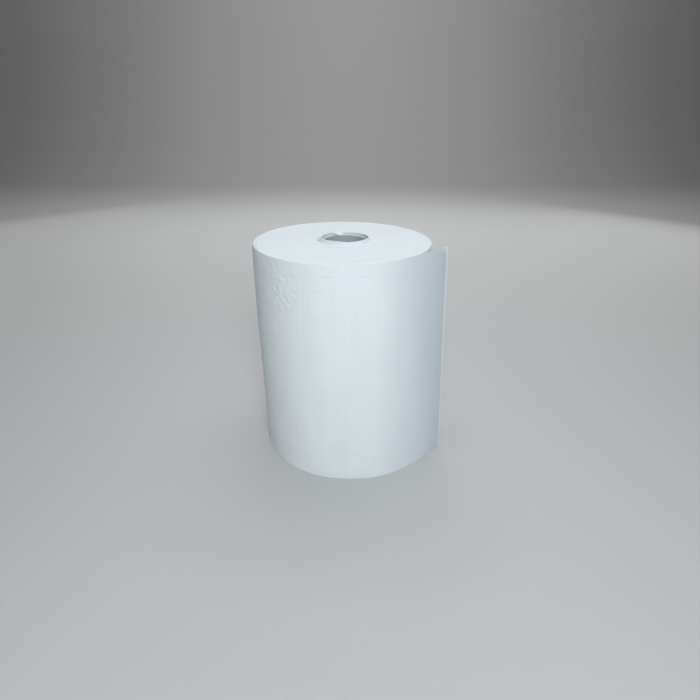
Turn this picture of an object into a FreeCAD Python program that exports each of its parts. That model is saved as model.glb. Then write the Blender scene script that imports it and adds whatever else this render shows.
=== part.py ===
import FreeCAD, Part

import os

import Sketcher
from FreeCAD import Vector

# A paper towel roll that stands on its end: one long web of paper wound on a paperboard core.
# Frame: +Z up along the core, the origin on the core's axis at the lower end face, millimetres.
# Seen from above the web winds anticlockwise, so its free end leaves the front of the roll and
# points to the right.

SIZES = (
    ("web_width", 203.0, "width of the web, so the height of the standing roll"),
    ("roll_radius", 79.8, "radius of the last turn"),
    ("roll_offset", 2.5, "how far the turns are wound off the core's axis, to the left"),
    ("web_caliper", 0.25, "thickness of one loose layer of the web"),
    ("peel_gap", 0.3, "gap under the last turn where it starts to peel off"),
    ("peel_angle", 267.0, "direction from the roll's centre to the line where the last turn peels off"),
    ("tail_near_length", 57.0, "web from the peel line to where the free end straightens"),
    ("tail_near_radius_low", 121.0, "bend of that stretch at the lower edge"),
    ("tail_near_radius_high", 79.9, "bend of that stretch at the upper edge"),
    ("tail_far_length_low", 58.6, "web from there to its cut end, at the lower edge"),
    ("tail_far_length_high", 51.8, "web from there to its cut end, at the upper edge"),
    ("tail_far_radius_low", 130.0, "bend of the end at the lower edge"),
    ("tail_far_radius_high", 900.0, "bend of the end at the upper edge"),
    ("core_bore_radius", 19.05, "radius of the bore that a spindle goes through"),
    ("core_wall", 2.0, "thickness of the paperboard"),
    ("core_length", 202.0, "length of the core, which stands on the same surface as the web"),
    ("slid_band_width", 1.0, "radial width of each band of inner turns that has slid up"),
    ("slid_lift_inner", 2.3, "lift of the band next to the core"),
    ("slid_lift_middle", 1.6, "lift of the next band"),
    ("slid_lift_outer", 0.8, "lift of the last band"),
    ("turn_line_first", 27.5, "radius where the turn line on each end face starts"),
    ("turn_line_pitch", 9.6, "radial distance from one turn line to the next"),
    ("turn_line_count", 5.0, "turns of that line"),
    ("turn_line_half_width", 0.45, "half the width of the turn line"),
    ("turn_line_depth", 0.5, "depth of the turn line"),
)

# How far a cutting tool stands clear of the face that it cuts.
TOOL_CLEARANCE = 0.2

doc = FreeCAD.newDocument("paper_towel_roll")


def fill_sheet():
    """The driving dimensions, one to a row: name, value with its alias, meaning."""
    sheet = doc.addObject("Spreadsheet::Sheet", "Sizes")
    for row, (alias, value, meaning) in enumerate(SIZES, start=1):
        sheet.set(f"A{row}", alias)
        sheet.set(f"B{row}", str(value))
        sheet.setAlias(f"B{row}", alias)
        sheet.set(f"C{row}", meaning)
    doc.recompute()
    return sheet


sizes = fill_sheet()


def size(alias):
    """The value that the sheet holds now, for first positions that constraints then fix."""
    return float(getattr(sizes, alias))


def new_body(label):
    body = doc.addObject("PartDesign::Body", label)
    body.Label = label
    return body


def origin_of(body, role):
    return next(f for f in body.Origin.OriginFeatures if f.Role == role)


def new_sketch(body, name, plane="XY_Plane", height=None):
    """A sketch on one of the body's own planes, raised by an expression if height is given."""
    sketch = body.newObject("Sketcher::SketchObject", name)
    sketch.AttachmentSupport = (origin_of(body, plane), [""])
    sketch.MapMode = "FlatFace"
    if height is not None:
        sketch.setExpression("AttachmentOffset.Base.z", height)
    return sketch


def bind(sketch, constraint, expression, name):
    """Adds a dimension and ties it to the sheet."""
    index = sketch.addConstraint(constraint)
    sketch.renameConstraint(index, name)
    sketch.setExpression(f"Constraints.{name}", expression)


def add_circle(sketch, radius_expression, radius_now, name):
    """A circle about the roll's axis."""
    circle = sketch.addGeometry(Part.Circle(Vector(), Vector(0, 0, 1), radius_now), False)
    sketch.addConstraint(Sketcher.Constraint("Coincident", circle, 3, -1, 1))
    bind(sketch, Sketcher.Constraint("Radius", circle, radius_now), radius_expression, name)
    return circle


def add_loop(sketch, points):
    """A closed chain of lines through points."""
    lines = []
    for i, point in enumerate(points):
        following = points[(i + 1) % len(points)]
        lines.append(sketch.addGeometry(Part.LineSegment(point, following), False))
    for i, line in enumerate(lines):
        sketch.addConstraint(Sketcher.Constraint("Coincident", line, 2, lines[(i + 1) % len(lines)], 1))
    return lines


def place_corner(sketch, line, across, up, names):
    """Fixes the first point of a line by its distance from the axis and its height."""
    for kind, (expression, now), name in zip(("DistanceX", "DistanceY"), (across, up), names):
        constraint = Sketcher.Constraint(kind, -1, 1, line, 1, now)
        bind(sketch, constraint, expression, name)


def polar(radius, degrees):
    turn = FreeCAD.Rotation(Vector(0, 0, 1), degrees)
    return turn.multVec(Vector(radius, 0, 0))


def arc_between(centre, radius, start_degrees, end_degrees):
    """An anticlockwise arc as a sketch takes it."""
    start = FreeCAD.Units.Quantity(f"{start_degrees} deg").getValueAs("rad").Value
    end = FreeCAD.Units.Quantity(f"{end_degrees} deg").getValueAs("rad").Value
    return Part.ArcOfCircle(Part.Circle(centre, Vector(0, 0, 1), radius), start, end)


def roll_centre():
    """Where the sheet puts the centre of the turns, which are wound a little off the core's axis."""
    return Vector(-size("roll_offset"), 0, 0)


def add_peel_ray(sketch):
    """The construction line from the roll's centre to the point where the last turn peels off."""
    tip = roll_centre() + polar(size("roll_radius"), size("peel_angle"))
    ray = sketch.addGeometry(Part.LineSegment(roll_centre(), tip), True)
    sketch.addConstraint(Sketcher.Constraint("PointOnObject", ray, 1, -1))
    offset = Sketcher.Constraint("DistanceX", ray, 1, -1, 1, size("roll_offset"))
    bind(sketch, offset, "Sizes.roll_offset", "roll_offset")
    length = Sketcher.Constraint("Distance", ray, size("roll_radius"))
    bind(sketch, length, "Sizes.roll_radius", "peel_reach")
    angle = FreeCAD.Units.Quantity(f"{size('peel_angle')} deg").getValueAs("rad").Value
    bind(sketch, Sketcher.Constraint("Angle", ray, angle), "Sizes.peel_angle * 1deg", "peel_direction")
    return ray


def draw_wound_section(sketch):
    """Section of the wound web: a two-centre spiral that loses one layer in a turn, and the core's hole."""
    ray = add_peel_ray(sketch)
    outer = size("roll_radius")
    step = size("web_caliper") + size("peel_gap")
    angle = size("peel_angle")
    along = polar(1.0, angle)
    # The first half turn starts one step lower than the last turn ends, and its centre lies a
    # quarter of a step off the axis, away from the peel line. The second half turn's lies towards it.
    centre = roll_centre()
    first = sketch.addGeometry(
        arc_between(centre - along * (step / 4), outer - 3 * step / 4, angle, angle + 180), False
    )
    second = sketch.addGeometry(
        arc_between(centre + along * (step / 4), outer - step / 4, angle + 180, angle + 360), False
    )
    riser = sketch.addGeometry(
        Part.LineSegment(centre + along * outer, centre + along * (outer - step)), False
    )
    for a, a_point, b, b_point in (
        (first, 2, second, 1),
        (second, 2, riser, 1),
        (riser, 2, first, 1),
        (second, 2, ray, 2),
    ):
        sketch.addConstraint(Sketcher.Constraint("Coincident", a, a_point, b, b_point))
    for curve, point in ((first, 3), (second, 3), (riser, 2), (first, 2)):
        sketch.addConstraint(Sketcher.Constraint("PointOnObject", curve, point, ray))
    bind(
        sketch,
        Sketcher.Constraint("Distance", riser, step),
        "Sizes.web_caliper + Sizes.peel_gap",
        "step",
    )
    bind(
        sketch,
        Sketcher.Constraint("Radius", first, outer - 3 * step / 4),
        "Sizes.roll_radius - 3 * (Sizes.web_caliper + Sizes.peel_gap) / 4",
        "first_half_turn",
    )
    add_circle(
        sketch,
        "Sizes.core_bore_radius + Sizes.core_wall",
        size("core_bore_radius") + size("core_wall"),
        "hole",
    )


def draw_tail_section(sketch, edge):
    """Strip of one layer from the peel line to the cut end, at the web's low or high edge."""
    ray = add_peel_ray(sketch)
    caliper = size("web_caliper")
    angle = size("peel_angle")
    near_radius = size(f"tail_near_radius_{edge}")
    far_radius = size(f"tail_far_radius_{edge}")
    near_turn = FreeCAD.Units.Quantity(
        f"{size('tail_near_length') / near_radius} rad"
    ).getValueAs("deg").Value
    far_turn = FreeCAD.Units.Quantity(
        f"{size(f'tail_far_length_{edge}') / far_radius} rad"
    ).getValueAs("deg").Value
    near_centre = roll_centre() + polar(size("roll_radius") - near_radius, angle)
    bend = angle + near_turn
    far_centre = near_centre + polar(near_radius - far_radius, bend)
    end = bend + far_turn

    outer_near = sketch.addGeometry(arc_between(near_centre, near_radius, angle, bend), False)
    outer_far = sketch.addGeometry(arc_between(far_centre, far_radius, bend, end), False)
    inner_near = sketch.addGeometry(
        arc_between(near_centre, near_radius - caliper, angle, bend), False
    )
    inner_far = sketch.addGeometry(
        arc_between(far_centre, far_radius - caliper, bend, end), False
    )
    root = sketch.addGeometry(
        Part.LineSegment(
            near_centre + polar(near_radius, angle),
            near_centre + polar(near_radius - caliper, angle),
        ),
        False,
    )
    cut = sketch.addGeometry(
        Part.LineSegment(
            far_centre + polar(far_radius, end), far_centre + polar(far_radius - caliper, end)
        ),
        False,
    )
    for a, a_point, b, b_point in (
        (root, 1, ray, 2),
        (outer_near, 1, root, 1),
        (inner_near, 1, root, 2),
        (outer_far, 2, cut, 1),
        (inner_far, 2, cut, 2),
        (inner_near, 3, outer_near, 3),
        (inner_far, 3, outer_far, 3),
    ):
        sketch.addConstraint(Sketcher.Constraint("Coincident", a, a_point, b, b_point))
    sketch.addConstraint(Sketcher.Constraint("PointOnObject", root, 2, ray))
    sketch.addConstraint(Sketcher.Constraint("PointOnObject", outer_near, 3, ray))
    sketch.addConstraint(Sketcher.Constraint("PointOnObject", outer_far, 3, cut))
    sketch.addConstraint(Sketcher.Constraint("Tangent", outer_near, 2, outer_far, 1))
    sketch.addConstraint(Sketcher.Constraint("Tangent", inner_near, 2, inner_far, 1))
    bind(sketch, Sketcher.Constraint("Distance", root, caliper), "Sizes.web_caliper", "caliper")
    for arc, radius, part in ((outer_near, near_radius, "near"), (outer_far, far_radius, "far")):
        bind(
            sketch,
            Sketcher.Constraint("Radius", arc, radius),
            f"Sizes.tail_{part}_radius_{edge}",
            f"{part}_bend",
        )
    for arc, turn, part, length in (
        (outer_near, near_turn, "near", "tail_near_length"),
        (outer_far, far_turn, "far", f"tail_far_length_{edge}"),
    ):
        turn_now = FreeCAD.Units.Quantity(f"{turn} deg").getValueAs("rad").Value
        bind(
            sketch,
            Sketcher.Constraint("Angle", arc, turn_now),
            f"Sizes.{length} / Sizes.tail_{part}_radius_{edge} * 1rad",
            f"{part}_turn",
        )


SLID_BANDS = ("inner", "middle", "outer")


def draw_slid_bands(sketch, base, base_now):
    """Stair of the inner turns that have slid up, as a half section from the face at height base."""
    hole = "Sizes.core_bore_radius + Sizes.core_wall"
    hole_now = size("core_bore_radius") + size("core_wall")
    width_now = size("slid_band_width")
    corners = [((hole, hole_now), (base, base_now))]
    for i, band in enumerate(SLID_BANDS):
        lift = f"{base} + Sizes.slid_lift_{band}"
        lift_now = base_now + size(f"slid_lift_{band}")
        for steps in (i, i + 1):
            across = f"{hole} + {steps} * Sizes.slid_band_width"
            corners.append(((across, hole_now + steps * width_now), (lift, lift_now)))
    foot = f"{hole} + {len(SLID_BANDS)} * Sizes.slid_band_width"
    corners.append(((foot, hole_now + len(SLID_BANDS) * width_now), (base, base_now)))
    lines = add_loop(sketch, [Vector(across[1], up[1], 0) for across, up in corners])
    for i, (line, (across, up)) in enumerate(zip(lines, corners)):
        place_corner(sketch, line, across, up, (f"across_{i}", f"up_{i}"))


def draw_turn_line(sketch, face, face_now, into):
    """Section of the fine groove that marks the turns, with its point at depth into the face."""
    radius, radius_now = "Sizes.turn_line_first", size("turn_line_first")
    half, half_now = "Sizes.turn_line_half_width", size("turn_line_half_width")
    clear_now = face_now - into * TOOL_CLEARANCE
    sign = "+" if into > 0 else "-"
    back = "-" if into > 0 else "+"
    corners = (
        ((f"{radius} - {half}", radius_now - half_now), (f"{face} {back} {TOOL_CLEARANCE}", clear_now)),
        ((f"{radius} + {half}", radius_now + half_now), (f"{face} {back} {TOOL_CLEARANCE}", clear_now)),
        (
            (radius, radius_now),
            (f"{face} {sign} Sizes.turn_line_depth", face_now + into * size("turn_line_depth")),
        ),
    )
    lines = add_loop(sketch, [Vector(across[1], up[1], 0) for across, up in corners])
    for i, (line, (across, up)) in enumerate(zip(lines, corners)):
        place_corner(sketch, line, across, up, (f"across_{i}", f"up_{i}"))


def wind_turn_line(body, sketch, name):
    """Cuts the groove along a flat spiral, so that it follows the web's own winding."""
    groove = body.newObject("PartDesign::SubtractiveHelix", name)
    groove.Profile = sketch
    groove.ReferenceAxis = (origin_of(body, "Z_Axis"), [""])
    groove.Mode = "height-turns-growth"
    groove.Height = 0
    groove.setExpression("Turns", "Sizes.turn_line_count")
    groove.setExpression("Growth", "Sizes.turn_line_pitch")
    return groove


def add_feature(body, kind, name, profile=None):
    feature = body.newObject(f"PartDesign::{kind}", name)
    if profile is not None:
        feature.Profile = profile
    return feature


def volume_of(body):
    doc.recompute()
    return body.Shape.Volume


def make_towel_web():
    """The whole web: its wound turns, the slid inner ones, and the free end that flares off."""
    body = new_body("towel_web")

    section = new_sketch(body, "wound_section")
    draw_wound_section(section)
    wound = add_feature(body, "Pad", "wound_turns", section)
    wound.setExpression("Length", "Sizes.web_width")
    wound_volume = volume_of(body)

    low = new_sketch(body, "tail_low_edge")
    draw_tail_section(low, "low")
    high = new_sketch(body, "tail_high_edge", height="Sizes.web_width")
    draw_tail_section(high, "high")
    tail = add_feature(body, "AdditiveLoft", "free_end", low)
    tail.Sections = [high]
    tail.Ruled = True
    tail_volume = volume_of(body) - wound_volume

    lip_section = new_sketch(body, "slid_up_section", "XZ_Plane")
    draw_slid_bands(lip_section, "Sizes.web_width", size("web_width"))
    lip = add_feature(body, "Revolution", "slid_up_turns", lip_section)
    lip.ReferenceAxis = (origin_of(body, "Z_Axis"), [""])
    lip.Angle = 360
    recess_section = new_sketch(body, "slid_from_section", "XZ_Plane")
    draw_slid_bands(recess_section, "0", 0.0)
    recess = add_feature(body, "Groove", "slid_from_turns", recess_section)
    recess.ReferenceAxis = (origin_of(body, "Z_Axis"), [""])
    recess.Angle = 360

    high_line = new_sketch(body, "turn_line_high_section", "XZ_Plane")
    draw_turn_line(high_line, "Sizes.web_width", size("web_width"), -1)
    wind_turn_line(body, high_line, "turn_line_high")
    low_line = new_sketch(body, "turn_line_low_section", "XZ_Plane")
    draw_turn_line(low_line, "0", 0.0, 1)
    wind_turn_line(body, low_line, "turn_line_low")
    doc.recompute()
    print(f"wound turns {wound_volume:.0f} mm3, free end {tail_volume:.0f} mm3")
    return body


def make_core_tube():
    """The paperboard tube that the web is wound on, open from end to end."""
    body = new_body("core_tube")
    section = new_sketch(body, "core_section")
    outer_now = size("core_bore_radius") + size("core_wall")
    add_circle(section, "Sizes.core_bore_radius + Sizes.core_wall", outer_now, "outside")
    add_circle(section, "Sizes.core_bore_radius", size("core_bore_radius"), "bore")
    tube = add_feature(body, "Pad", "tube", section)
    tube.setExpression("Length", "Sizes.core_length")
    doc.recompute()
    return body


def check_and_write(bodies):
    """Stops if any object failed, then writes each piece to its own file."""
    doc.recompute()
    failed = [o.Name for o in doc.Objects if "Invalid" in o.State or "Error" in o.State]
    if failed:
        raise RuntimeError(f"these objects failed: {failed}")
    for body in bodies:
        shape = body.Shape
        if shape.isNull() or not shape.isValid() or len(shape.Solids) != 1:
            raise RuntimeError(f"{body.Label} is not one valid solid")
    os.makedirs("parts", exist_ok=True)
    for body in bodies:
        body.Shape.exportStep(f"parts/{body.Label}.step")
        print(f"{body.Label}: {body.Shape.Volume:.1f} mm3, {len(body.Shape.Faces)} faces")


check_and_write([make_towel_web(), make_core_tube()])
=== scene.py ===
import math
import random

import bmesh
import bpy
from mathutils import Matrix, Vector, noise


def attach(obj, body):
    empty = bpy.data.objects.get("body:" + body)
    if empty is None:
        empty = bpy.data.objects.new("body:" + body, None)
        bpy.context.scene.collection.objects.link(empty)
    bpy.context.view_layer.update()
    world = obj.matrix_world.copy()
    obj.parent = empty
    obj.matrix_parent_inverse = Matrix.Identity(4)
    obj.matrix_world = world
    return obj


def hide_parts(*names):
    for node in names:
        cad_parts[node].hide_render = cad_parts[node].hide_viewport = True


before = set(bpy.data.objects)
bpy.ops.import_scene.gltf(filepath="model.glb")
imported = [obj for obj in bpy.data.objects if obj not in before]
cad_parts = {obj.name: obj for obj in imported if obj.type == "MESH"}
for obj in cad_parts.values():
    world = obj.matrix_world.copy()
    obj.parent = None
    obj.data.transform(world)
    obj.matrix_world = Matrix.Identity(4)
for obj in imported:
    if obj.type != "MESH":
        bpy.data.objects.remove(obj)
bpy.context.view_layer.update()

# Sizes of the roll, in metres, as the part's source has them.
MM = 0.001
WEB_WIDTH = 203.0 * MM
ROLL_RADIUS = 79.8 * MM
ROLL_CENTRE = Vector((-2.5 * MM, 0.0, 0.0))
CALIPER = 0.25 * MM
PEEL_GAP = 0.3 * MM
PEEL_DEGREES = 267.0
NEAR_LENGTH = 57.0 * MM
NEAR_RADIUS = {"low": 121.0 * MM, "high": 79.9 * MM}
FAR_LENGTH = {"low": 58.6 * MM, "high": 51.8 * MM}
FAR_RADIUS = {"low": 130.0 * MM, "high": 900.0 * MM}
FREE_LENGTH = NEAR_LENGTH + (FAR_LENGTH["low"] + FAR_LENGTH["high"]) / 2
TURN_LENGTH = 2 * math.pi * ROLL_RADIUS
CORE_BORE = 19.05 * MM
CORE_OUTSIDE = 21.05 * MM
CORE_LENGTH = 202.0 * MM

# The roll isn't quite round: it swells at the right, under the free end.
SWELL_DEGREES = 332.0
SWELL_SPREAD = 24.0
ROUND_SWELL = 0.3 * MM
# Between the last turn and the block of turns under it.
SNUG_GAP = 0.12 * MM
# The block's own step inwards lies this many degrees before the last turn's.
STEP_AHEAD = 0.5
WOUND_SIDES = 240

# The last few turns are loose: a groove parts them from the rest, (degrees, mm deep).
RIM_GROOVE = (
    (0, 0.5), (60, 0.4), (100, 0.4), (130, 1.0), (165, 1.4), (195, 0.9),
    (225, 0.0), (320, 0.0), (360, 0.5),
)
# The groove's middle in from the edge, and half its width, in mm.
GROOVE_PLACE = (1.3, 0.6)
# The last few turns stand this much proud of the rest, in mm.
RIM_PROUD = 0.12
# The top edge of the last turns leans in over its last few millimetres: (degrees, mm).
RIM_LEAN = (
    (0, 0.3), (25, 0.8), (60, 0.4), (90, 0.5), (120, 0.8), (150, 0.7), (175, 1.0),
    (205, 0.5), (235, 0.0), (345, 0.0), (360, 0.3),
)
RIM_LEAN_HEIGHT = 4.5 * MM

# The inner turns that have slid up: their rim by direction, (degrees, mm above the end face).
RIM_LIFT = (
    (0, 2.3), (30, 2.0), (90, 2.0), (120, 2.1), (150, 1.95), (180, 1.9), (215, 2.75),
    (240, 3.1), (262, 3.0), (278, 2.5), (292, 2.7), (320, 2.9), (345, 2.6), (360, 2.3),
)
LEAST_LIFT = 0.1
SLID_TURNS = 10
SLID_PITCH = 0.36 * MM
SLID_CLEARANCE = 0.1 * MM
SLID_SHIFT = Vector((-0.75 * MM, -0.05 * MM, 0.0))
WOUND_INSIDE = CORE_OUTSIDE + (SLID_TURNS + 0.3) * SLID_PITCH
# How much of the pitch the paper of a slid turn fills.
SLID_FILL = 0.93
# How much of the lift is gone at the outermost slid turn.
SLID_FALL = 0.93
# The innermost turn leans in over the hole, and at the back its rim rises and is folded down:
# (degrees, mm) of its rim.
LEAN_IN = (
    (0, 0.0), (20, 0.3), (35, 0.8), (60, 1.1), (94, 1.2), (99, 2.4), (110, 2.4), (128, 0.3), (200, 0.0),
)
LEAN_DOWN = ((20, 0.0), (35, 0.3), (60, 0.4), (94, 0.5), (99, 2.7), (110, 2.7), (128, 0.1), (150, 0.0))
FOLD_RISE = ((94, 0.0), (99, 1.2), (110, 1.1), (128, 0.0))
# The height, in mm, where the leaning and the folding start.
LEAN_FROM = 202.0

# A crease in the end face round the slid turns: (degrees, mm from the core's axis).
CREASE_FOOT = (
    (180, 34.0), (209, 32.8), (222, 31.8), (231, 29.6), (245, 32.4), (252, 34.0),
    (262, 29.0), (273, 29.8), (290, 30.8), (320, 30.5),
)
# It shows at the front only: middle and spread in degrees.
CREASE_SPAN = (254.0, 42.0)
# Inside it the end face dips: mm deep, and the mm over which it goes down and comes back.
CREASE_DIP = (0.4, 0.8, 1.8)
# The end face is drawn up beside the slid turns: mm, and how far that reaches.
DRAWN_UP = (0.3, 1.4 * MM)

# Where the last turn and the free end swell out: along the web, up it, their spreads, and mm.
SWELLS = (
    (-112.0 * MM, 140.0 * MM, 45.0 * MM, 55.0 * MM, 0.8),
    (38.0 * MM, 0.0 * MM, 24.0 * MM, 70.0 * MM, 1.7),
    (112.0 * MM, 203.0 * MM, 40.0 * MM, 210.0 * MM, -0.9),
)
# A patch at the upper left where the paper is finely crumpled: along the web, up it, and its size.
CRUMPLED = (-50.0 * MM, 174.0 * MM, 25.0 * MM)
# The cut end of the web curls out.
CURL_LENGTH = 3.0 * MM
CURL = 0.45 * MM
# As far as this, the free end has the roll close behind it, and gets no painted shade.
BACKED_LENGTH = 36.0 * MM
# Its cut edge and its top corner get less painted shade, so show paler, over this many mm.
PALE_EDGE = 0.9
PALE_CORNER = 8.0
# Its top edge rises by this much, in mm, over this length.
FREE_RISE = (0.55, 60.0 * MM)
# The web's top edge is cut a little raggedly, which shows in the paper above this height.
RAGGED_FROM = 180.0 * MM

# Unevenness of the paper: (mm, waves per metre along it, waves per metre across, its own number).
BROAD_WAVES = (0.09, 42.0, 3.2, 1.7)
COCKLE = (0.05, 150.0, 75.0, 4.1)
FINE_CRUMPLE = (0.52, 430.0, 380.0, 8.3)
COARSE_CRUMPLE = (0.12, 140.0, 100.0, 2.8)
FLUTTER = (0.25, 25.0, 14.0, 5.2)
FACE_SWELL = (0.14, 28.0, 28.0, 2.4)
FACE_COCKLE = (0.03, 160.0, 160.0, 6.1)

# The wound turns lie a little unevenly in height: in bundles this wide, by about this many mm.
FACE_TURN = 2.1 * MM
FACE_STEP = 0.045
FACE_STEPS = 40

SEAM_PITCH = 96.0 * MM
SEAM_DEPTH = 0.28 * MM
SEAM_HALF_WIDTH = 0.5 * MM
CORE_SIDES = 96
# The cut end of the core board is lighter over this much of its wall, in from the bore.
BOARD_EDGE = 0.35 * MM

# Cut edges and corners over this angle, in radians, stay crisp.
SHARP_ANGLE = 0.9
# Vertices closer than this are one.
WELD = 0.001 * MM

random.seed(7)


def point_at(radius, degrees, centre=Vector()):
    turn = math.radians(degrees)
    return centre + Vector((radius * math.cos(turn), radius * math.sin(turn), 0.0))


def hump(degrees, middle, spread):
    """1 in the middle of a span of directions, falling smoothly to 0."""
    off = (degrees - middle + 180.0) % 360.0 - 180.0
    return math.exp(-((off / spread) ** 2))


def smooth(value):
    value = min(max(value, 0.0), 1.0)
    return value * value * (3.0 - 2.0 * value)


def wander(x, y, z=0.0):
    """Smooth noise about 0, the same on each run."""
    return noise.noise(Vector((x, y, z)))


def ripple(waves, along, across):
    """Unevenness of one kind at a place, in millimetres."""
    height, along_waves, across_waves, number = waves
    return height * wander(along * along_waves, across * across_waves, number)


def between(pairs, x):
    """Value at x on the smooth line through pairs, level beyond its ends."""
    for (x0, y0), (x1, y1) in zip(pairs, pairs[1:]):
        if x0 <= x <= x1:
            return y0 + (y1 - y0) * smooth((x - x0) / (x1 - x0))
    return pairs[0][1] if x < pairs[0][0] else pairs[-1][1]


def steps(stops):
    """Positions along a span: stops are (end, spacing), each evenly divided."""
    places = [stops[0][0]]
    for (start, _), (end, spacing) in zip(stops, stops[1:]):
        count = max(1, round((end - start) / spacing))
        places += [start + (end - start) * (i + 1) / count for i in range(count)]
    return places


def step_between(heights, coil):
    """Height at a place along a spiral, with one height for each whole turn."""
    first = int(coil)
    low, high = heights[first % len(heights)], heights[(first + 1) % len(heights)]
    return low + (high - low) * smooth(coil - first)


# Materials


def put(tree, kind, inputs=None, **settings):
    """Adds a node. An input is a value or another node's output."""
    node = tree.nodes.new(kind)
    for key, value in settings.items():
        setattr(node, key, value)
    for key, value in (inputs or {}).items():
        if isinstance(value, bpy.types.NodeSocket):
            tree.links.new(value, node.inputs[key])
        else:
            node.inputs[key].default_value = value
    return node


def sums(tree, operation, first, second=0.0, third=0.0):
    node = put(tree, "ShaderNodeMath", {0: first, 1: second, 2: third}, operation=operation)
    return node.outputs[0]


def vectors(tree, operation, first, second=(0.0, 0.0, 0.0)):
    node = put(tree, "ShaderNodeVectorMath", {0: first, 1: second}, operation=operation)
    return node.outputs["Vector"]


def length_of(tree, vector):
    return put(tree, "ShaderNodeVectorMath", {0: vector}, operation="LENGTH").outputs["Value"]


def weigh(tree, first, share, second):
    """That share of the first, and the rest of the second."""
    rest = sums(tree, "MULTIPLY", second, 1.0 - share)
    return sums(tree, "MULTIPLY_ADD", first, share, rest)


def grains(tree, vector, scale, detail=3.0, rough=0.55):
    """Cloudy grain, with scale as grains per metre."""
    inputs = {"Vector": vector, "Scale": scale, "Detail": detail, "Roughness": rough}
    return put(tree, "ShaderNodeTexNoise", inputs).outputs["Fac"]


def streaks(tree, vector, scales, detail=3.0, rough=0.55):
    """Grain with its own scale in each direction."""
    drawn_out = put(tree, "ShaderNodeMapping", {"Vector": vector, "Scale": scales})
    return grains(tree, drawn_out.outputs["Vector"], 1.0, detail, rough)


def shader_group(name, inputs, outputs):
    group = bpy.data.node_groups.new(name, "ShaderNodeTree")
    for label, kind in inputs:
        group.interface.new_socket(label, in_out="INPUT", socket_type=kind)
    for label, kind in outputs:
        group.interface.new_socket(label, in_out="OUTPUT", socket_type=kind)
    start = group.nodes.new("NodeGroupInput")
    end = group.nodes.new("NodeGroupOutput")
    return group, start, end


def make_fibre_group():
    """Matted paper fibres: a fine height and a cloudy tone, from a position in metres."""
    group, start, end = shader_group(
        "paper fibres",
        [("Position", "NodeSocketVector"), ("Coarseness", "NodeSocketFloat")],
        [("Height", "NodeSocketFloat"), ("Tone", "NodeSocketFloat")],
    )
    inputs = {0: start.outputs["Position"], "Scale": start.outputs["Coarseness"]}
    spot = put(group, "ShaderNodeVectorMath", inputs, operation="SCALE").outputs["Vector"]
    fine = grains(group, spot, 1400.0, 4.0, 0.65)
    clumps = grains(group, spot, 260.0)
    clouds = grains(group, spot, 38.0, 4.0, 0.6)
    group.links.new(weigh(group, clumps, 0.6, fine), end.inputs["Height"])
    group.links.new(weigh(group, clouds, 0.7, clumps), end.inputs["Tone"])
    return group


def make_crepe_group():
    """Crepe ridges that run across the web, from a position (along, across) in metres."""
    group, start, end = shader_group(
        "crepe ridges",
        [("Position", "NodeSocketVector")],
        [("Height", "NodeSocketFloat"), ("Streak", "NodeSocketFloat")],
    )
    spot = start.outputs["Position"]
    ridges = streaks(group, spot, (1500.0, 90.0, 1.0), rough=0.6)
    folds = streaks(group, spot, (420.0, 26.0, 1.0), 2.0)
    bands = streaks(group, spot, (110.0, 5.0, 1.0))
    group.links.new(weigh(group, folds, 0.5, ridges), end.inputs["Height"])
    group.links.new(weigh(group, bands, 0.7, folds), end.inputs["Streak"])
    return group


def make_layer_edge_group():
    """Edges of the wound layers on an end face: fine rings about a centre that drifts outwards."""
    group, start, end = shader_group(
        "layer edges",
        [("Position", "NodeSocketVector")],
        [("Height", "NodeSocketFloat"), ("Tone", "NodeSocketFloat")],
    )
    flat = vectors(group, "MULTIPLY", start.outputs["Position"], (1.0, 1.0, 0.0))
    past_core = sums(group, "SUBTRACT", length_of(group, flat), CORE_OUTSIDE)
    drift = sums(group, "MULTIPLY", past_core, -ROLL_CENTRE.x / (ROLL_RADIUS - CORE_OUTSIDE))
    shift = put(group, "ShaderNodeCombineXYZ", {"X": drift}).outputs[0]
    centred = vectors(group, "ADD", flat, shift)
    way = put(group, "ShaderNodeSeparateXYZ", {0: vectors(group, "NORMALIZE", centred)})
    inputs = {"X": length_of(group, centred), "Y": way.outputs["X"], "Z": way.outputs["Y"]}
    around = put(group, "ShaderNodeCombineXYZ", inputs).outputs[0]
    layers = streaks(group, around, (3200.0, 1.6, 1.6), 2.0)
    bundles = streaks(group, around, (620.0, 1.1, 1.1))
    rings = streaks(group, around, (130.0, 0.7, 0.7))
    group.links.new(weigh(group, layers, 0.55, bundles), end.inputs["Height"])
    group.links.new(weigh(group, rings, 0.6, bundles), end.inputs["Tone"])
    return group


FIBRES = make_fibre_group()
CREPE = make_crepe_group()
LAYER_EDGES = make_layer_edge_group()


def use_group(tree, group, inputs):
    return put(tree, "ShaderNodeGroup", inputs, node_tree=group)


def new_material(name, roughness, specular):
    material = bpy.data.materials.new(name)
    material.use_nodes = True
    tree = material.node_tree
    shader = tree.nodes["Principled BSDF"]
    shader.inputs["Roughness"].default_value = roughness
    shader.inputs["Specular IOR Level"].default_value = specular
    return material, tree, shader


def place_on_piece(tree):
    return put(tree, "ShaderNodeTexCoord").outputs["Object"]


def blend(tree, amount, first, second, kind="MIX"):
    """Colour first turning into second, or multiplied by it, as amount goes from 0 to 1."""
    inputs = {0: amount, 6: first, 7: second}
    return put(tree, "ShaderNodeMix", inputs, data_type="RGBA", blend_type=kind).outputs[2]


def tint(tree, amount, dark, light, low=0.3, high=0.7):
    """Colour between dark and light as amount goes from low to high."""
    node = put(tree, "ShaderNodeMapRange", {"Value": amount, "From Min": low, "From Max": high})
    return blend(tree, node.outputs["Result"], (*dark, 1.0), (*light, 1.0))


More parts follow.
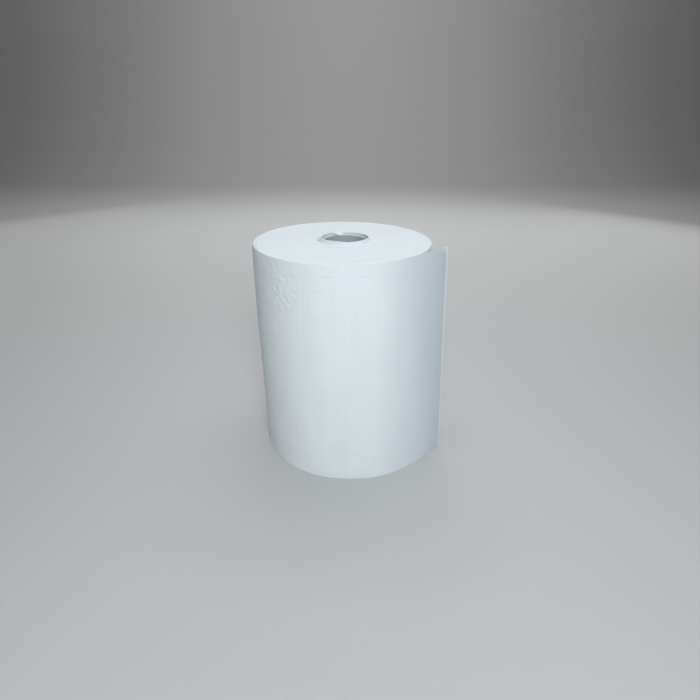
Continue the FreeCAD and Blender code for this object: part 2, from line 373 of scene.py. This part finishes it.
def bump(tree, height, depth, strength, under=None):
    """Relief of the given depth, over the relief under it."""
    inputs = {"Height": height, "Distance": depth, "Strength": strength}
    if under is not None:
        inputs["Normal"] = under
    return put(tree, "ShaderNodeBump", inputs).outputs["Normal"]


PAPER_DARK = (0.765, 0.805, 0.83)
PAPER_LIGHT = (0.83, 0.87, 0.895)
# The colour that the painted shade multiplies the paper by.
SHADED = (0.66, 0.705, 0.735, 1.0)
PAPER_ROUGH = 0.93
CUT_PAPER_ROUGH = 0.95
PAPER_SPECULAR = 0.22
BOARD_ROUGH = 0.88
BOARD_SPECULAR = 0.3
BOARD_GREYS = ((0.32, 0.345, 0.36), (0.43, 0.465, 0.485))
CUT_BOARD_GREYS = ((0.50, 0.515, 0.525), (0.60, 0.615, 0.625))
# Fine relief of each finish: (depth, strength).
CREPE_RELIEF = (0.25 * MM, 0.9)
WEB_FIBRES = (0.09 * MM, 0.8)
LAYER_RELIEF = (0.12 * MM, 0.7)
CUT_FIBRES = (0.1 * MM, 0.6)
BOARD_FIBRES = (0.08 * MM, 0.7)
# Painted shadows of faint creases in the free side of the web: (mm along it, mm up, half length, half
# height, depth).
CREASE_SHADOWS = (
    (-6.0, 194.0, 5.5, 0.9, 0.8),
    (21.5, 193.7, 4.0, 0.9, 0.7),
    (-13.5, 181.8, 4.5, 1.0, 0.6),
    (-3.7, 179.2, 1.4, 1.2, 0.7),
    (5.2, 175.3, 1.4, 1.2, 0.7),
    (-22.4, 113.4, 2.0, 1.5, 0.5),
    (88.8, 107.7, 2.0, 1.5, 0.5),
)
# How dark the painted crease shadows get.
CREASE_SHADOW_DARKNESS = 0.38


def painted_crease_shadows(tree, along):
    """Painted shadows of soft short creases at the places of CREASE_SHADOWS: 1 is darkest."""
    total = 0.0
    for travel, height, half_length, half_height, depth in CREASE_SHADOWS:
        inputs = {
            "Vector": along,
            "Location": (travel * MM, height * MM, 0.0),
            "Scale": (half_length * MM, half_height * MM, 1.0),
        }
        place = put(tree, "ShaderNodeMapping", inputs, vector_type="TEXTURE").outputs["Vector"]
        away = length_of(tree, place)
        inputs = {"Value": away, "From Min": 0.2, "From Max": 1.4, "To Min": depth, "To Max": 0.0}
        shadow = put(tree, "ShaderNodeMapRange", inputs, interpolation_type="SMOOTHSTEP")
        total = sums(tree, "ADD", shadow.outputs["Result"], total)
    return total


def shaded(tree, colour):
    """Painted shade: darker where light passes through one ply with nothing behind it, and painted shadow
    in the lines where layers part.
    """
    amount = put(tree, "ShaderNodeAttribute", attribute_name="shade").outputs["Fac"]
    return blend(tree, amount, colour, SHADED, "MULTIPLY")


def dress_paper(tree, shader, tone, coarse, fine):
    """White paper in the given tone, with the painted shade over it, and two sizes of relief: (height,
    depth, strength).
    """
    stacked = tint(tree, tone, PAPER_DARK, PAPER_LIGHT)
    tree.links.new(shaded(tree, stacked), shader.inputs["Base Color"])
    tree.links.new(bump(tree, *fine, bump(tree, *coarse)), shader.inputs["Normal"])


def make_web_paper():
    """Outer face of the towelling: cool white, matt, crepe ridges up and down the roll."""
    material, tree, shader = new_material("towel paper", PAPER_ROUGH, PAPER_SPECULAR)
    along = put(tree, "ShaderNodeUVMap", uv_map="web").outputs["UV"]
    crepe = use_group(tree, CREPE, {"Position": along})
    fibres = use_group(tree, FIBRES, {"Position": place_on_piece(tree), "Coarseness": 1.0})
    tone = weigh(tree, crepe.outputs["Streak"], 0.5, fibres.outputs["Tone"])
    # The painted crease shadows darken the tone.
    tone = sums(tree, "MULTIPLY_ADD", painted_crease_shadows(tree, along), -CREASE_SHADOW_DARKNESS, tone)
    coarse, fine = (crepe.outputs["Height"], *CREPE_RELIEF), (fibres.outputs["Height"], *WEB_FIBRES)
    dress_paper(tree, shader, tone, coarse, fine)
    return material


def make_layer_paper():
    """Cut edges of the wound layers: the same paper, with fine rings."""
    material, tree, shader = new_material("towel paper, cut edges", CUT_PAPER_ROUGH, PAPER_SPECULAR)
    place = place_on_piece(tree)
    edges = use_group(tree, LAYER_EDGES, {"Position": place})
    fibres = use_group(tree, FIBRES, {"Position": place, "Coarseness": 1.0})
    tone = weigh(tree, edges.outputs["Tone"], 0.6, fibres.outputs["Tone"])
    coarse, fine = (edges.outputs["Height"], *LAYER_RELIEF), (fibres.outputs["Height"], *CUT_FIBRES)
    dress_paper(tree, shader, tone, coarse, fine)
    return material


def make_core_board(name, darkest, lightest):
    """Grey paperboard with short fibres and a few darker specks."""
    material, tree, shader = new_material(name, BOARD_ROUGH, BOARD_SPECULAR)
    place = place_on_piece(tree)
    fibres = use_group(tree, FIBRES, {"Position": place, "Coarseness": 0.8})
    specks = grains(tree, place, 900.0, 1.0)
    dark = put(tree, "ShaderNodeMapRange", {"Value": specks, "From Min": 0.66, "From Max": 0.74})
    tone = sums(tree, "SUBTRACT", fibres.outputs["Tone"], dark.outputs["Result"])
    tree.links.new(tint(tree, tone, darkest, lightest, 0.1, 0.7), shader.inputs["Base Color"])
    relief = bump(tree, fibres.outputs["Height"], *BOARD_FIBRES)
    tree.links.new(relief, shader.inputs["Normal"])
    return material


WEB_PAPER = make_web_paper()
LAYER_PAPER = make_layer_paper()
CORE_BOARD = make_core_board("grey core board", *BOARD_GREYS)
CUT_BOARD = make_core_board("core board, cut ends", *CUT_BOARD_GREYS)


# Pieces


def add_object(mesh, name):
    """Turns the bmesh into an object in the scene."""
    data = bpy.data.meshes.new(name)
    mesh.to_mesh(data)
    mesh.free()
    thing = bpy.data.objects.new(name, data)
    bpy.context.scene.collection.objects.link(thing)
    return thing


def finish_piece(mesh, name, material, node):
    """Puts the mesh in the scene as a piece that rides on the roll and stands for its CAD node."""
    for face in mesh.faces:
        face.smooth = True
    for edge in mesh.edges:
        edge.smooth = not edge.is_boundary and edge.calc_face_angle(0.0) < SHARP_ANGLE
    piece = add_object(mesh, name)
    piece.data.materials.append(material)
    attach(piece, "root")
    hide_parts(node)
    return piece


def thicken(piece, thickness, offset):
    wall = piece.modifiers.new("thickness", "SOLIDIFY")
    wall.thickness = thickness
    wall.offset = offset
    wall.use_even_offset = True


def strip(columns, rows):
    """A flat strip of web with its vertices at the given places, and a UV map that keeps them."""
    mesh = bmesh.new()
    flat = mesh.loops.layers.uv.new("web")
    # A layer for painted shade, which each piece fills in.
    mesh.verts.layers.float.new("shade")
    bmesh.ops.create_grid(mesh, x_segments=len(columns) - 1, y_segments=len(rows) - 1, size=0.5)
    for vertex in mesh.verts:
        column = round((vertex.co.x + 0.5) * (len(columns) - 1))
        row = round((vertex.co.y + 0.5) * (len(rows) - 1))
        vertex.co = (columns[column], rows[row], 0.0)
    for face in mesh.faces:
        for loop in face.loops:
            loop[flat].uv = loop.vert.co.xy
    return mesh


def turn_radius(degrees, turned):
    """Outer face of the last turn. It steps in by one layer and one gap over the whole turn."""
    stepped = ROLL_RADIUS - (CALIPER + PEEL_GAP) * (1 - turned)
    return stepped + ROUND_SWELL * hump(degrees, SWELL_DEGREES, SWELL_SPREAD)


def turn_degrees(travel):
    """Direction of a place on the last turn, which ends where the free end peels off."""
    return PEEL_DEGREES + math.degrees(travel / ROLL_RADIUS)


def rim_lean(degrees, height):
    lean = between(RIM_LEAN, degrees % 360.0) * MM
    return lean * smooth((height - WEB_WIDTH) / RIM_LEAN_HEIGHT + 1)


def free_end_point(travel, edge):
    """Outer face of the free end at its low or high edge, and the way out there."""
    near, far = NEAR_RADIUS[edge], FAR_RADIUS[edge]
    near_centre = point_at(ROLL_RADIUS - near, PEEL_DEGREES, ROLL_CENTRE)
    bend = PEEL_DEGREES + math.degrees(min(travel, NEAR_LENGTH) / near)
    if travel <= NEAR_LENGTH:
        return point_at(near, bend, near_centre), point_at(1.0, bend)
    share = (travel - NEAR_LENGTH) / (FREE_LENGTH - NEAR_LENGTH)
    far_centre = near_centre + point_at(near - far, bend)
    end = bend + math.degrees(share * FAR_LENGTH[edge] / far)
    return point_at(far, end, far_centre), point_at(1.0, end)


def web_point(travel, height):
    """Outer face of the last turn and the free end, and the way out from the roll there."""
    if travel > 0:
        low, low_out = free_end_point(travel, "low")
        high, high_out = free_end_point(travel, "high")
        share = height / WEB_WIDTH
        return low.lerp(high, share), low_out.lerp(high_out, share).normalized()
    degrees = turn_degrees(travel)
    radius = turn_radius(degrees, 1 + travel / TURN_LENGTH)
    return point_at(radius, degrees, ROLL_CENTRE), point_at(1.0, degrees)


def web_relief(travel, height):
    """How far the paper stands in or out of its plain shape: soft bands, cockle, crumples, curl."""
    swell = 0.0
    for along, up, length, rise, out in SWELLS:
        swell += out * math.exp(-(((travel - along) / length) ** 2) - ((height - up) / rise) ** 2)
    waves = ripple(BROAD_WAVES, travel, height) + ripple(COCKLE, travel, height)
    along, up, size = CRUMPLED
    patch = math.exp(-(((travel - along) / size) ** 2) - ((height - up) / size) ** 2)
    crumple = patch * (ripple(FINE_CRUMPLE, travel, height) + ripple(COARSE_CRUMPLE, travel, height))
    flutter = smooth(travel / FREE_LENGTH) * ripple(FLUTTER, travel, height)
    curl = max(0.0, 1 - (FREE_LENGTH - travel) / CURL_LENGTH) ** 2
    lean = rim_lean(turn_degrees(travel), height) if travel <= 0 else 0.0
    return (swell + waves + crumple + flutter) * MM + CURL * curl - lean


def free_shade(travel, height):
    """Painted shade on the free end, for the light lost through its one ply: more further out and higher
    up, and less at its cut edges and its top corner, which show lighter.
    """
    share = max(0.0, travel - BACKED_LENGTH) / (FREE_LENGTH - BACKED_LENGTH)
    upwards = 0.7 + 0.2 * height / WEB_WIDTH
    to_end, to_top = (FREE_LENGTH - travel) / MM, (WEB_WIDTH - height) / MM
    cut_edge = 1.0 - 0.8 * math.exp(-((to_end / PALE_EDGE) ** 2))
    corner = 0.25 + 0.75 * smooth((to_top + 0.4 * to_end) / PALE_CORNER)
    return share * upwards * cut_edge * corner


def make_outer_turn():
    """The last turn of the web and the free end that it runs out into: one thin sheet."""
    columns = steps((
        (-TURN_LENGTH, 0), (-85 * MM, 2.8 * MM), (-20 * MM, 1.0 * MM),
        (FREE_LENGTH - 5 * MM, 1.8 * MM), (FREE_LENGTH, 0.7 * MM),
    ))
    rows = steps((
        (0.0, 0), (3 * MM, 0.6 * MM), (135 * MM, 2.6 * MM), (198 * MM, 1.05 * MM), (WEB_WIDTH, 0.5 * MM),
    ))
    mesh = strip(columns, rows)
    shade = mesh.verts.layers.float["shade"]
    rise, rise_length = FREE_RISE
    for vertex in mesh.verts:
        travel, height = vertex.co.x, vertex.co.y
        # Painted shade for the light lost through the one ply.
        vertex[shade] = free_shade(travel, height)
        place, outward = web_point(travel, height)
        place += outward * web_relief(travel, height)
        ragged = 0.07 * wander(travel * 300, 9.0) + 0.12 * wander(travel * 45, 2.0)
        ragged += rise * smooth(travel / rise_length)
        edge = smooth((height - RAGGED_FROM) / (WEB_WIDTH - RAGGED_FROM)) * ragged * MM
        vertex.co = (place.x, place.y, height + edge)
    piece = finish_piece(mesh, "outer_turn_and_free_end", WEB_PAPER, "towel_web")
    thicken(piece, CALIPER, -1.0)


face_lifts = [random.gauss(0.0, FACE_STEP) for _ in range(FACE_STEPS)]


def face_relief(radius, degrees):
    """Height of the end face in millimetres above its plane: the turns lie a little unevenly."""
    place = point_at(radius, degrees)
    coil = max(0.0, radius / FACE_TURN - degrees / 360.0)
    waves = ripple(FACE_SWELL, place.x, place.y) + ripple(FACE_COCKLE, place.x, place.y)
    return step_between(face_lifts, coil) + waves


def crease_relief(radius, degrees):
    """The dip inside the crease and the turns drawn up at the slid ones, and the painted shadow along the
    crease.
    """
    front = smooth(1.6 * hump(degrees, *CREASE_SPAN))
    inside = between(CREASE_FOOT, degrees) - radius / MM
    depth, wall, run = CREASE_DIP
    dip = -depth * smooth(inside / wall) * math.exp(-max(0.0, inside - wall) / run)
    rise, reach = DRAWN_UP
    near = rise * math.exp(-max(0.0, radius - WOUND_INSIDE) / reach)
    return front * dip + near, 0.22 * front * math.exp(-((inside - 0.4) / 1.1) ** 2)


def rim_relief(inside, degrees):
    """The last few turns, a trace proud of the rest, with the groove between them, and the painted shadow
    in the groove.
    """
    middle, half_width = GROOVE_PLACE
    groove = between(RIM_GROOVE, degrees) * (1 + 0.7 * wander(degrees / 6, 7.0))
    groove *= math.exp(-(((inside / MM - middle) / half_width) ** 2))
    return RIM_PROUD - groove, 0.3 * groove


def wound_radius(degrees):
    """Outer face of the turns under the last one."""
    turned = ((degrees - PEEL_DEGREES + STEP_AHEAD) % 360.0) / 360.0
    return turn_radius(degrees, turned) - CALIPER - SNUG_GAP


def make_wound_turns():
    """The block of wound turns under the last one, with the uneven edges of its layers."""
    outside = ROLL_RADIUS
    span = steps((
        (WOUND_INSIDE, 0), (34 * MM, 0.5 * MM), (77 * MM, 0.75 * MM), (outside, 0.28 * MM),
    ))
    side = [20 * MM, 80 * MM, 140 * MM, 197 * MM, 199.5 * MM, 201.5 * MM]
    profile = [(radius, 0.0) for radius in span] + [(outside, height) for height in side]
    profile += [(radius, WEB_WIDTH) for radius in reversed(span)]
    profile += [(WOUND_INSIDE, height) for height in reversed(side)]
    mesh = bmesh.new()
    shade = mesh.verts.layers.float.new("shade")
    dots = [mesh.verts.new((radius, 0.0, height)) for radius, height in profile]
    lines = [mesh.edges.new(pair) for pair in zip(dots, dots[1:] + dots[:1])]
    bmesh.ops.spin(
        mesh, geom=dots + lines, cent=(0, 0, 0), axis=(0, 0, 1), dvec=(0, 0, 0),
        angle=2 * math.pi, steps=WOUND_SIDES, use_merge=True, use_normal_flip=False, use_duplicate=False,
    )
    bmesh.ops.remove_doubles(mesh, verts=mesh.verts[:], dist=WELD)
    for vertex in mesh.verts:
        x, y, height = vertex.co
        degrees = math.degrees(math.atan2(y, x)) % 360.0
        share = (math.hypot(x, y) - WOUND_INSIDE) / (outside - WOUND_INSIDE)
        edge = wound_radius(degrees) - rim_lean(degrees, height)
        radius = WOUND_INSIDE + (edge - WOUND_INSIDE) * share
        place = point_at(radius, degrees, SLID_SHIFT.lerp(ROLL_CENTRE, share))
        relief = face_relief(radius, degrees)
        if height > 0.999 * WEB_WIDTH:
            crease, crease_shade = crease_relief(place.length, degrees)
            rim, rim_shade = rim_relief(edge - radius, degrees)
            height += (relief + crease + rim) * MM
            # Painted shadow in the crease and in the groove.
            vertex[shade] = min(1.0, crease_shade + rim_shade)
        elif height < 0.001 * WEB_WIDTH:
            height = max(0.0, RIM_PROUD + relief) * MM
        vertex.co = (place.x, place.y, height)
    bmesh.ops.recalc_face_normals(mesh, faces=mesh.faces[:])
    finish_piece(mesh, "wound_turns", LAYER_PAPER, "towel_web")


def slid_shade(degrees):
    """Painted shade on the slid turns: soft at the front, and deeper at the back left of the innermost one.
    """
    back_left = smooth((degrees - 104.0) / 14.0) * smooth((178.0 - degrees) / 28.0)
    return 0.22 * hump(degrees, 280.0, 50.0) + 0.4 * back_left


def slid_point(coil, mark, offsets):
    """Place on the slid turns: coil is whole turns from the core, mark is mm up the web."""
    degrees = (coil * 360.0) % 360.0
    fall = 1.0 - SLID_FALL * smooth((coil - 1.0) / (SLID_TURNS - 1.0))
    own = step_between(offsets, coil) * min(1.0, coil)
    lift = max(LEAST_LIFT, between(RIM_LIFT, degrees) * fall + own)
    ragged = 0.10 * wander(coil * 150, 4.4) + 0.06 * wander(coil * 620, 8.2)
    loose = 0.05 * MM * wander(coil * 22, mark * 0.05)
    radius = CORE_OUTSIDE + SLID_CLEARANCE + coil * SLID_PITCH + loose
    height = mark + lift + ragged * smooth(mark / (WEB_WIDTH / MM) * 8 - 7)
    above = (height - LEAN_FROM) / (WEB_WIDTH / MM + lift - LEAN_FROM)
    if coil < 1 and above > 0:
        rise = between(FOLD_RISE, degrees)
        radius -= between(LEAN_IN, degrees) * MM * above ** 1.5
        height += rise * above - (rise + between(LEAN_DOWN, degrees)) * above ** 4
    spot = point_at(radius, degrees, SLID_SHIFT * (coil / SLID_TURNS))
    return spot.x, spot.y, height * MM


def make_slid_turns():
    """The inner turns round the core, which have slid up: a loose spiral with a ragged rim."""
    length = 2 * math.pi * CORE_OUTSIDE
    columns = steps(((0.0, 0), (SLID_TURNS * length, length / 160)))
    marks = (0.0, 0.4, 1.5, 6.0, 60.0, 140.0, 194.0, 199.0, 200.2, 200.8, 201.3, 201.8, 202.2, 202.6, 203.0)
    mesh = strip(columns, [mark * MM for mark in marks])
    shade = mesh.verts.layers.float["shade"]
    offsets = [random.gauss(0.0, 0.12) for _ in range(SLID_TURNS + 2)]
    for vertex in mesh.verts:
        coil, mark = vertex.co.x / length, vertex.co.y / MM
        vertex[shade] = slid_shade(coil * 360.0)
        vertex.co = slid_point(coil, mark, offsets)
    piece = finish_piece(mesh, "slid_up_turns", WEB_PAPER, "towel_web")
    thicken(piece, SLID_FILL * SLID_PITCH, 1.0)


def bore_point(angle, mark):
    """Place on the core's bore, at a place along and across the wound strip of board."""
    to_seam = abs((mark + SEAM_PITCH / 2) % SEAM_PITCH - SEAM_PITCH / 2)
    height = mark + SEAM_PITCH * angle / (2 * math.pi)
    radius = CORE_BORE + SEAM_DEPTH * smooth(1 - to_seam / SEAM_HALF_WIDTH)
    radius += 0.05 * MM * wander(math.cos(angle) * 2, math.sin(angle) * 2, height * 30)
    return radius * math.cos(angle), radius * math.sin(angle), height


def widen(mesh, rims, gain):
    """Draws the open rims outwards, and gives the new ones."""
    made = bmesh.ops.extrude_edge_only(mesh, edges=rims)["geom"]
    for vertex in (item for item in made if isinstance(item, bmesh.types.BMVert)):
        vertex.co += Vector((vertex.co.x, vertex.co.y, 0.0)).normalized() * gain
    return [item for item in made if isinstance(item, bmesh.types.BMEdge)]


def make_core():
    """The core: a paperboard strip wound in a helix, with its butt seam open a hair."""
    angles = [i * 2 * math.pi / CORE_SIDES for i in range(CORE_SIDES + 1)]
    marks = (0.0, 0.25, 0.5, 1.2, 8.0, 24.0, 40.0, 56.0, 72.0, 88.0, 94.8, 95.5, 95.75)
    rows = [SEAM_PITCH * turn + mark * MM for turn in range(-1, 3) for mark in marks]
    mesh = strip(angles, rows)
    for vertex in mesh.verts:
        vertex.co = bore_point(vertex.co.x, vertex.co.y)
    bmesh.ops.remove_doubles(mesh, verts=mesh.verts[:], dist=10 * WELD)
    for level, side in ((0.0, -1), (CORE_LENGTH, 1)):
        bmesh.ops.bisect_plane(
            mesh, geom=mesh.verts[:] + mesh.edges[:] + mesh.faces[:], dist=WELD,
            plane_co=(0, 0, level), plane_no=(0, 0, side), clear_outer=True, clear_inner=False,
        )
    # The cut ends of the board, and then its outside.
    rims = [edge for edge in mesh.edges if edge.is_boundary]
    walls = set(mesh.faces)
    for gain in (BOARD_EDGE, CORE_OUTSIDE - CORE_BORE - BOARD_EDGE):
        rims = widen(mesh, rims, gain)
    for face in set(mesh.faces) - walls:
        face.material_index = 1
    for face in bmesh.ops.bridge_loops(mesh, edges=rims)["faces"]:
        face.material_index = 0
    bmesh.ops.recalc_face_normals(mesh, faces=mesh.faces[:])
    piece = finish_piece(mesh, "core_board_tube", CORE_BOARD, "core_tube")
    piece.data.materials.append(CUT_BOARD)


make_wound_turns()
make_outer_turn()
make_slid_turns()
make_core()


# Studio

FLOOR_HALF_WIDTH = 4.0
FLOOR_FRONT = -3.0
FLOOR_BACK = 2.2
FLOOR_BEND = 1.2
BEND_STEPS = 12
WALL_TOP = 4.0
FLOOR_GREY = (0.55, 0.55, 0.55, 1.0)
AIR_COLOUR = (0.93, 0.97, 1.0, 1.0)
AIR_LIGHT = 0.05
AIR_SEEN = 0.4

WHITE = (1.0, 1.0, 1.0)
ROLL_MIDDLE = (0.0, 0.0, 0.1)
# Name, place, what it shines at, its size, its power in watts, and its colour.
LIGHTS = (
    ("front_soft_box", (0.06, -0.78, 0.62), ROLL_MIDDLE, 0.45, 6.4, (0.93, 0.975, 1.0)),
    ("top_soft_box", (0.03, 0.0, 0.95), ROLL_MIDDLE, 0.6, 1.6, (0.93, 0.985, 1.0)),
    ("right_fill", (1.1, 0.75, 0.7), ROLL_MIDDLE, 1.2, 3.0, WHITE),
    ("left_fill", (-1.1, 0.9, 0.7), ROLL_MIDDLE, 1.2, 1.4, WHITE),
    ("back_fill", (0.0, 1.05, 0.95), ROLL_MIDDLE, 0.8, 2.4, (0.97, 0.99, 1.0)),
    ("backdrop_light", (0.0, 0.9, 2.0), (0.0, 3.0, 0.5), 1.6, 34.0, WHITE),
)

# The camera that fits the photograph's outline.
CAMERA_PLACE = (0.0, -360.786 * MM, 290.239 * MM)
CAMERA_PITCH = 22.894
FOCAL_PIXELS = 405.466
IMAGE_PIXELS = 700
PRINCIPAL = (344.923, 305.599)
SENSOR_WIDTH = 36.0


def make_floor():
    """A plain sweep: floor that turns up into a back wall well behind the roll."""
    mesh = bmesh.new()
    line = [(FLOOR_FRONT, 0.0), (FLOOR_BACK, 0.0)]
    for i in range(1, BEND_STEPS + 1):
        turn = math.radians(90.0 * i / BEND_STEPS)
        line.append((FLOOR_BACK + FLOOR_BEND * math.sin(turn), FLOOR_BEND - FLOOR_BEND * math.cos(turn)))
    line.append((FLOOR_BACK + FLOOR_BEND, WALL_TOP))
    dots = [mesh.verts.new((-FLOOR_HALF_WIDTH, y, z)) for y, z in line]
    lines = [mesh.edges.new(pair) for pair in zip(dots, dots[1:])]
    made = bmesh.ops.extrude_edge_only(mesh, edges=lines)
    moved = [item for item in made["geom"] if isinstance(item, bmesh.types.BMVert)]
    bmesh.ops.translate(mesh, vec=(2 * FLOOR_HALF_WIDTH, 0, 0), verts=moved)
    for face in mesh.faces:
        face.smooth = True
        if face.normal.z < 0 or (abs(face.normal.z) < 0.01 and face.normal.y > 0):
            face.normal_flip()
    floor = add_object(mesh, "studio_floor")
    material, _, shader = new_material("plain floor", 0.8, 0.2)
    shader.inputs["Base Color"].default_value = FLOOR_GREY
    floor.data.materials.append(material)


def add_light(name, place, target, size, power, colour):
    data = bpy.data.lights.new(name, "AREA")
    data.size = size
    data.energy = power
    data.color = colour
    light = bpy.data.objects.new(name, data)
    light.location = place
    light.rotation_euler = (Vector(target) - Vector(place)).to_track_quat("-Z", "Y").to_euler()
    bpy.context.scene.collection.objects.link(light)


def make_world():
    """The air round the studio: dim as a light, but pale where the camera sees it past the floor."""
    world = bpy.data.worlds.new("studio_air")
    world.use_nodes = True
    tree = world.node_tree
    background = tree.nodes["Background"]
    background.inputs["Color"].default_value = AIR_COLOUR
    seen = put(tree, "ShaderNodeLightPath").outputs["Is Camera Ray"]
    strength = sums(tree, "MULTIPLY_ADD", seen, AIR_SEEN, AIR_LIGHT)
    tree.links.new(strength, background.inputs["Strength"])
    bpy.context.scene.world = world


def make_camera():
    data = bpy.data.cameras.new("photo_camera")
    data.sensor_width = SENSOR_WIDTH
    data.lens = FOCAL_PIXELS / IMAGE_PIXELS * SENSOR_WIDTH
    data.shift_x = (IMAGE_PIXELS / 2 - PRINCIPAL[0]) / IMAGE_PIXELS
    data.shift_y = (PRINCIPAL[1] - IMAGE_PIXELS / 2) / IMAGE_PIXELS
    data.clip_start = 0.01
    data.clip_end = 50.0
    camera = bpy.data.objects.new("photo_camera", data)
    camera.location = CAMERA_PLACE
    camera.rotation_euler = (math.radians(90.0 - CAMERA_PITCH), 0.0, 0.0)
    bpy.context.scene.collection.objects.link(camera)
    bpy.context.scene.camera = camera


make_floor()
make_world()
for light in LIGHTS:
    add_light(*light)
make_camera()
bpy.context.scene.view_settings.view_transform = "Standard"
